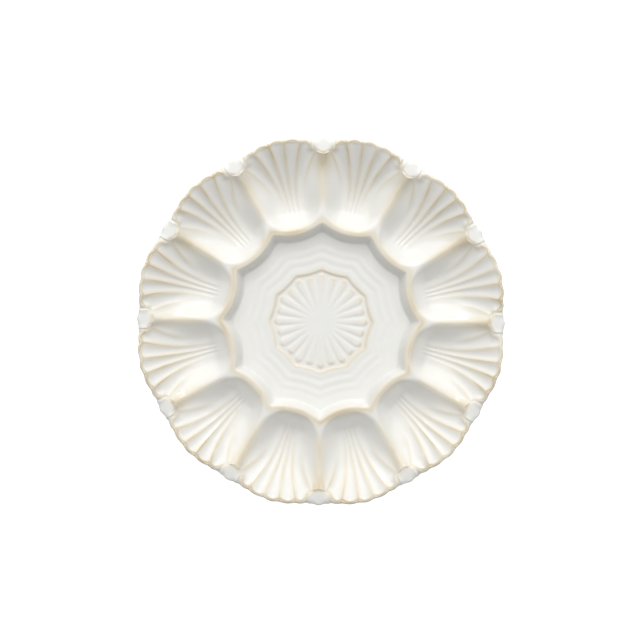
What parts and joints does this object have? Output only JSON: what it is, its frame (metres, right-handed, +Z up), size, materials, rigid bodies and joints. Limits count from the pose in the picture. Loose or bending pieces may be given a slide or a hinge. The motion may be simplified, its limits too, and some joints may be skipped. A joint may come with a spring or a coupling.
{
  "type": "egg plate",
  "caption": "Round egg plate in cream glazed stoneware: fluted scallop shell wells with tan edges round a sunken middle with a rosette and ripples, on a foot ring.",
  "frame": {"origin": "centre of the foot ring's tread, on the table", "axes": "+Z up along the plate's axis; partitions between the wells lie along +X and +Y"},
  "size_m": [0.2996, 0.2996, 0.0294],
  "materials": {
    "bare_stoneware": "bare fired clay, matt",
    "glazed_stoneware": "glossy cream white glaze, thin and tan on raised edges",
    "glazed_base": "glossy cream white glaze"
  },
  "bodies": {
    "root": {"stoneware_body": "bare_stoneware", "glaze_coat": "glazed_stoneware", "base_glaze": "glazed_base"}
  },
  "joints": []
}
